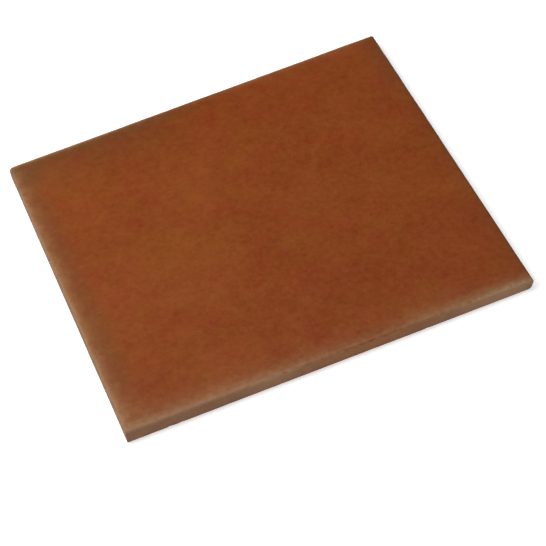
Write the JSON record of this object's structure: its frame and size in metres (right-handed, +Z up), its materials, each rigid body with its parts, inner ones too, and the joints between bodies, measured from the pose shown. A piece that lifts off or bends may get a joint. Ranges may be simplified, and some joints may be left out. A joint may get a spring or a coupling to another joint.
{
  "type": "terracotta floor tile",
  "caption": "Square, thin terracotta floor tile with a smooth wear face crowned down to rolled edges and a bed keyed with shallow channels.",
  "frame": {"origin": "centre of the bed, the underside on which the tile lies", "axes": "+Z up, square to the wear face; +X to the right along the front edge, in line with the keying channels; +Y to the back"},
  "size_m": [0.3, 0.3, 0.01],
  "materials": {
    "terracotta": "fired red-brown clay, smooth, with a thin satin seal on the wear face and bare, paler clay on the sides and bed"
  },
  "bodies": {
    "root": {"floor_tile": "terracotta"}
  },
  "joints": []
}
